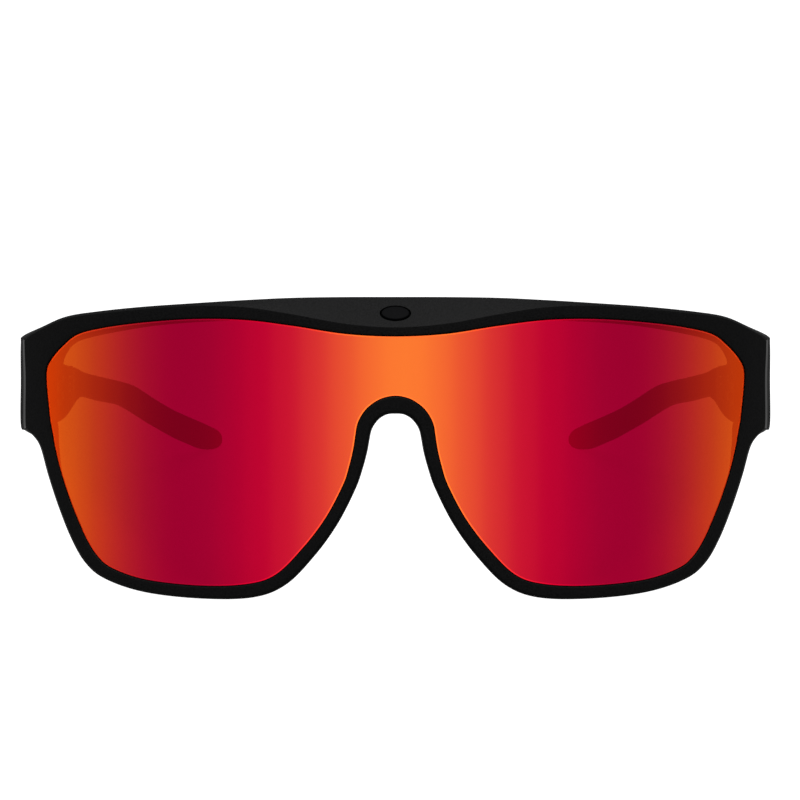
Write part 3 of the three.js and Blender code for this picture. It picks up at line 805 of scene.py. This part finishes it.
def grained_black(name, dark, light, rough, grain, specular, bump):
    """Moulded black plastic or rubber: fine grain in colour, roughness and height."""
    material, nodes, links, shader = new_material(name)
    fine = object_noise(nodes, links, grain, 3)
    broad = object_noise(nodes, links, 90, 4)
    links.new(blended(nodes, links, fine.outputs["Fac"], dark, light), shader.inputs["Base Color"])
    links.new(ranged(nodes, links, broad.outputs["Fac"], rough[0], rough[1]), shader.inputs["Roughness"])
    bumped(nodes, links, shader, fine.outputs["Fac"], bump, 0.00004)
    shader.inputs["IOR"].default_value = MATT_IOR
    shader.inputs["Specular IOR Level"].default_value = specular
    return material


def worked_metal(name, dark, light, rough, stretch, specular):
    """Black-coated metal with fine lines from stamping or turning."""
    material, nodes, links, shader = new_material(name)
    lines = object_noise(nodes, links, 900, 4, stretch)
    links.new(blended(nodes, links, lines.outputs["Fac"], dark, light), shader.inputs["Base Color"])
    links.new(ranged(nodes, links, lines.outputs["Fac"], rough[0], rough[1]), shader.inputs["Roughness"])
    bumped(nodes, links, shader, lines.outputs["Fac"], 0.15, 0.00002)
    shader.inputs["Specular IOR Level"].default_value = specular
    return material


def ramp_along(nodes, links, source, stops):
    """Colour that follows the stops as the source runs from 0 to 1."""
    node = nodes.new("ShaderNodeValToRGB")
    node.color_ramp.interpolation = "CARDINAL"
    elements = node.color_ramp.elements
    elements.remove(elements[1])
    elements[0].position = stops[0][0]
    elements[0].color = (*stops[0][1], 1)
    for place, colour in stops[1:]:
        elements.new(place).color = (*colour, 1)
    links.new(source, node.inputs["Fac"])
    return node.outputs["Color"]


def share_from_middle(nodes, links):
    """Distance from the middle of the coating's colours, as a share of COAT_REACH."""
    coordinates = nodes.new("ShaderNodeTexCoord")
    split = nodes.new("ShaderNodeSeparateXYZ")
    moved = nodes.new("ShaderNodeMath")
    moved.operation = "SUBTRACT"
    moved.inputs[1].default_value = COAT_MIDDLE
    absolute = nodes.new("ShaderNodeMath")
    absolute.operation = "ABSOLUTE"
    share = nodes.new("ShaderNodeMath")
    share.operation = "DIVIDE"
    share.inputs[1].default_value = COAT_REACH
    links.new(coordinates.outputs["Object"], split.inputs["Vector"])
    links.new(split.outputs["X"], moved.inputs[0])
    links.new(moved.outputs[0], absolute.inputs[0])
    links.new(absolute.outputs[0], share.inputs[0])
    return share.outputs[0]


def see_through(nodes, links, shader, cover, tint):
    """Lets part of the light straight through: cover is the share that the surface keeps."""
    clear = nodes.new("ShaderNodeBsdfTransparent")
    if isinstance(tint, tuple):
        clear.inputs["Color"].default_value = (*tint, 1)
    else:
        links.new(tint, clear.inputs["Color"])
    mix = nodes.new("ShaderNodeMixShader")
    mix.inputs["Fac"].default_value = cover
    links.new(clear.outputs[0], mix.inputs[1])
    links.new(shader.outputs[0], mix.inputs[2])
    links.new(mix.outputs[0], nodes["Material Output"].inputs["Surface"])


def lens_coat(name, cover, gain, limit, rough):
    """Red-orange mirror coating whose colour runs from orange in the middle over crimson to orange again,
    painted by place along the lens as a stand-in for the colour shift and reflections that a mirror coating
    shows as the viewing angle changes.

    gain and limit brighten the colours of the stops and cap them, channel by channel; on the lens's rounded
    border this brightening is a painted highlight of the edge catching light.
    """
    material, nodes, links, shader = new_material(name)
    share = share_from_middle(nodes, links)

    def gained(colour):
        return tuple(min(most, c * g) for most, c, g in zip(limit, colour, gain))

    # Colour ramp across the lens: the coating's own colour with its view-dependent shift and reflections
    # painted in by place.
    stops = [(place, gained(colour)) for place, colour in COAT_AND_PAINTED_SHIFT_STOPS]
    links.new(ramp_along(nodes, links, share, stops), shader.inputs["Base Color"])
    shader.inputs["Metallic"].default_value = 1
    shader.inputs["Roughness"].default_value = rough
    shader.inputs["Specular Tint"].default_value = (1, 0.9, 0.5, 1)
    see_through(nodes, links, shader, cover, ramp_along(nodes, links, share, PASSED_STOPS))
    return material


def lens_smoke():
    """Dark body of the lens, seen from behind and at its edges."""
    material, nodes, links, shader = new_material("lens_smoke")
    haze = object_noise(nodes, links, 60, 3)
    colour = blended(nodes, links, haze.outputs["Fac"], (0.010, 0.007, 0.008), (0.014, 0.010, 0.011))
    links.new(colour, shader.inputs["Base Color"])
    links.new(ranged(nodes, links, haze.outputs["Fac"], 0.04, 0.07), shader.inputs["Roughness"])
    see_through(nodes, links, shader, SMOKE_COVER, (0.9, 0.9, 0.9))
    return material


def lens_edge():
    """Matt dark ground edge of the lens."""
    material, nodes, links, shader = new_material("lens_ground_edge")
    grain = object_noise(nodes, links, 2600, 3)
    colour = blended(nodes, links, grain.outputs["Fac"], (0.0016, 0.0006, 0.0007), (0.003, 0.0012, 0.0014))
    links.new(colour, shader.inputs["Base Color"])
    links.new(ranged(nodes, links, grain.outputs["Fac"], 0.55, 0.7), shader.inputs["Roughness"])
    shader.inputs["Specular IOR Level"].default_value = 0.05
    return material


COAT_REACH = 0.07
COAT_MIDDLE = 0.0017
COAT_COVER = 0.78
EDGE_COVER = 0.96
# The border's mirror colours are brightened by these gains and capped by these limits: a painted highlight
# along the lens's edge.
EDGE_HIGHLIGHT_GAIN = (1.5, 1.6, 1.8)
EDGE_HIGHLIGHT_LIMIT = (1, 0.17, 0.03)
SMOKE_COVER = 0.4
# (share of COAT_REACH from the middle, colour) along the lens: what is mirrored, with the mirror's
# view-dependent colour shift and reflections painted in by place, then what passes.
COAT_AND_PAINTED_SHIFT_STOPS = [
    (0.000, (0.890, 0.205, 0.0146)),
    (0.058, (0.860, 0.181, 0.0142)),
    (0.124, (0.765, 0.116, 0.0136)),
    (0.194, (0.640, 0.053, 0.0132)),
    (0.265, (0.516, 0.016, 0.0126)),
    (0.337, (0.423, 0.0033, 0.0124)),
    (0.409, (0.335, 0.0006, 0.0122)),
    (0.483, (0.243, 0.0006, 0.0118)),
    (0.557, (0.204, 0.0006, 0.0112)),
    (0.634, (0.214, 0.0012, 0.0104)),
    (0.689, (0.250, 0.0035, 0.0092)),
    (0.741, (0.300, 0.0075, 0.0076)),
    (0.794, (0.366, 0.0142, 0.0058)),
    (0.835, (0.415, 0.0210, 0.0049)),
    (0.878, (0.485, 0.0300, 0.0039)),
    (0.924, (0.545, 0.0340, 0.0029)),
    (0.961, (0.640, 0.0375, 0.0020)),
]
PASSED_STOPS = [
    (0.00, (0.93, 0.014, 0.112)),
    (0.52, (0.93, 0.002, 0.110)),
    (0.63, (0.93, 0.005, 0.104)),
    (0.71, (0.93, 0.026, 0.083)),
    (0.77, (0.93, 0.072, 0.060)),
    (0.83, (0.93, 0.150, 0.037)),
    (0.88, (0.93, 0.245, 0.029)),
    (0.96, (0.93, 0.340, 0.025)),
]


# ---------- assembly ----------

def put(piece, node, body, material):
    piece.name = "look_" + node
    piece.data.materials.clear()
    piece.data.materials.append(material)
    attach(piece, body)
    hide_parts(node)
    return piece


def put_pair(piece, node, bodies, material):
    twin = mirrored(piece, "twin")
    put(piece, node + "_left", bodies[0], material)
    put(twin, node + "_right", bodies[1], material)
    return piece, twin


# Which faces count as the narrow bevel of an end piece: how far out they lie, in metres, how little
# they look up or down, and by how many degrees they are turned outwards from straight ahead.
POLISHED_FROM = 0.0705
POLISHED_TILT = 0.2
POLISHED_TURN = (49, 57.5)


def polish_end_bevels(rim, polished):
    """Gives the narrow bevel along the outer edge of each end piece the polished material."""
    rim.data.materials.append(polished)
    low, high = POLISHED_TURN
    for face in rim.data.polygons:
        facing = TURN.inverted() @ face.normal
        outwards = math.degrees(math.atan2(abs(facing.x), -facing.y))
        upright = abs(facing.z) < POLISHED_TILT
        if abs(face.center.x) > POLISHED_FROM and upright and low < outwards < high:
            face.material_index = 1


def coat_lens(lens, coat, ground_edge, highlit_border_coat):
    """Mirror coating on the outer face, and a brightened copy of it on its rounded border as a painted
    highlight; the steps and the flange are ground.
    """
    for material in (coat, ground_edge, highlit_border_coat):
        lens.data.materials.append(material)
    ahead = (TURN @ Vector((0, -1, 0))).normalized()
    loop_size = RIM_STEPS * len(all_stations())
    first_ground = BORDER_LOOPS * loop_size
    last_ground = (len(LENS_EDGE) - 1) * loop_size
    for face in lens.data.polygons:
        on_edge = len(face.vertices) == 4
        first = min(face.vertices)
        if on_edge and first_ground <= first < last_ground:
            face.material_index = 2
        elif on_edge and first < first_ground:
            face.material_index = 3
        elif face.normal.dot(ahead) > 0.3:
            face.material_index = 1


frame_plastic = grained_black(
    "frame_black_nylon", dark=(0.0001, 0.0001, 0.0001), light=(0.0047, 0.0047, 0.0048),
    rough=(0.3, 0.38), grain=4200, specular=0.018, bump=0.7)
polished = grained_black(
    "frame_polished_bevel", dark=(0.002, 0.002, 0.0021), light=(0.003, 0.003, 0.0031),
    rough=(0.14, 0.18), grain=4200, specular=0.42, bump=0.1)
rubber = grained_black(
    "soft_black_rubber", dark=(0.004, 0.004, 0.0042), light=(0.006, 0.006, 0.0062),
    rough=(0.8, 0.92), grain=3800, specular=0.15, bump=0.5)
leaf_black = worked_metal(
    "coated_hinge_steel", dark=(0.004, 0.004, 0.0042), light=(0.008, 0.008, 0.0082),
    rough=(0.38, 0.5), stretch=(1, 1, 12), specular=0.3)
screw_black = worked_metal(
    "blackened_screw_steel", dark=(0.006, 0.006, 0.0063), light=(0.012, 0.012, 0.0124),
    rough=(0.3, 0.42), stretch=(6, 6, 6), specular=0.5)
badge_black = worked_metal(
    "black_plate", dark=(0.0004, 0.0004, 0.0005), light=(0.0008, 0.0008, 0.0009),
    rough=(0.45, 0.55), stretch=(14, 1, 1), specular=0.004)
coat = lens_coat("lens_mirror_coat", COAT_COVER, gain=(1, 1, 1), limit=(1, 1, 1), rough=0.05)
# Brighter copy of the mirror coating for the lens's border: a painted highlight of the edge catching light.
highlit_border_coat = lens_coat("lens_mirror_border_painted_highlight", EDGE_COVER, gain=EDGE_HIGHLIGHT_GAIN, limit=EDGE_HIGHLIGHT_LIMIT, rough=0.5)
smoke = lens_smoke()
ground_edge = lens_edge()

fronts, temples = ("front", "front"), ("temple_left", "temple_right")
rim = put(front_frame(), "front_frame", "front", frame_plastic)
lens = put(shield_lens(), "shield_lens", "front", smoke)
put(brow_badge(), "brow_badge", "front", badge_black)
pads = put_pair(nose_pad(), "nose_pad", fronts, rubber)
put_pair(hinge_leaf(FRAME_LEAF, (0, 2, 4), FRAME_SCREW_Y), "frame_hinge", fronts, leaf_black)
put_pair(hinge_leaf(TEMPLE_LEAF, (1, 3), TEMPLE_SCREW_Y), "temple_hinge", temples, leaf_black)
put_pair(hinge_pin(), "hinge_pin", fronts, screw_black)
for level, height in SCREW_HEIGHTS.items():
    put_pair(leaf_screw(FRAME_SCREW_Y, height), "frame_screw_" + level, fronts, screw_black)
    put_pair(leaf_screw(TEMPLE_SCREW_Y, height), "temple_screw_" + level, temples, screw_black)
put_pair(temple_arm(), "temple_arm", temples, frame_plastic)
put_pair(temple_tip(), "temple_tip", temples, rubber)

polish_end_bevels(rim, polished)
coat_lens(lens, coat, ground_edge, highlit_border_coat)


# ---------- studio ----------

FLOOR_HALF = 4
FLOOR_GLOW = 1.15
WORLD_LIGHT = 1.2


def studio_floor():
    """Pale floor that shines a little by itself, so that it stays even all over."""
    corners = [(x * FLOOR_HALF, y * FLOOR_HALF, 0) for x, y in ((-1, -1), (1, -1), (1, 1), (-1, 1))]
    mesh = bpy.data.meshes.new("floor")
    mesh.from_pydata(corners, [], [(0, 1, 2, 3)])
    floor = bpy.data.objects.new("studio_floor", mesh)
    bpy.context.collection.objects.link(floor)
    material, nodes, links, shader = new_material("pale_floor")
    shader.inputs["Base Color"].default_value = (0.05, 0.05, 0.05, 1)
    shader.inputs["Roughness"].default_value = 0.9
    shader.inputs["Specular IOR Level"].default_value = 0
    shader.inputs["Emission Color"].default_value = (1, 1, 1, 1)
    shader.inputs["Emission Strength"].default_value = FLOOR_GLOW
    mesh.materials.append(material)


def softbox(name, place, target, size, watts):
    light = bpy.data.lights.new(name, "AREA")
    light.shape = "RECTANGLE"
    light.size, light.size_y = size
    light.energy = watts
    lamp = bpy.data.objects.new(name, light)
    lamp.location = place
    lamp.rotation_mode = "QUATERNION"
    lamp.rotation_quaternion = (Vector(target) - Vector(place)).to_track_quat("-Z", "Y")
    bpy.context.collection.objects.link(lamp)


studio_floor()
world = bpy.context.scene.world or bpy.data.worlds.new("studio")
bpy.context.scene.world = world
world.use_nodes = True
world.node_tree.nodes["Background"].inputs["Color"].default_value = (1, 1, 1, 1)
world.node_tree.nodes["Background"].inputs["Strength"].default_value = WORLD_LIGHT
softbox("top_light", (0, -0.15, 0.75), (0, -0.05, 0.03), (0.7, 0.35), 22)

# Level with the lens, straight ahead of the brow, in mm; the picture is moved a little sideways.
CAMERA_DISTANCE = 300
SENSOR = 36
FOCAL = 76.815
SHIFT = 0.00575


def aim_camera():
    data = bpy.data.cameras.new("camera")
    data.sensor_width = SENSOR
    data.lens = FOCAL
    data.shift_x = SHIFT
    data.clip_start, data.clip_end = 0.01, 20
    camera = bpy.data.objects.new("camera", data)
    level = TURN @ Matrix.Rotation(math.pi / 2, 4, "X")
    camera.matrix_world = Matrix.Translation(to_row((0, -CAMERA_DISTANCE, 0))) @ level
    bpy.context.collection.objects.link(camera)
    bpy.context.scene.camera = camera


aim_camera()
bpy.context.scene.view_settings.view_transform = "Standard"
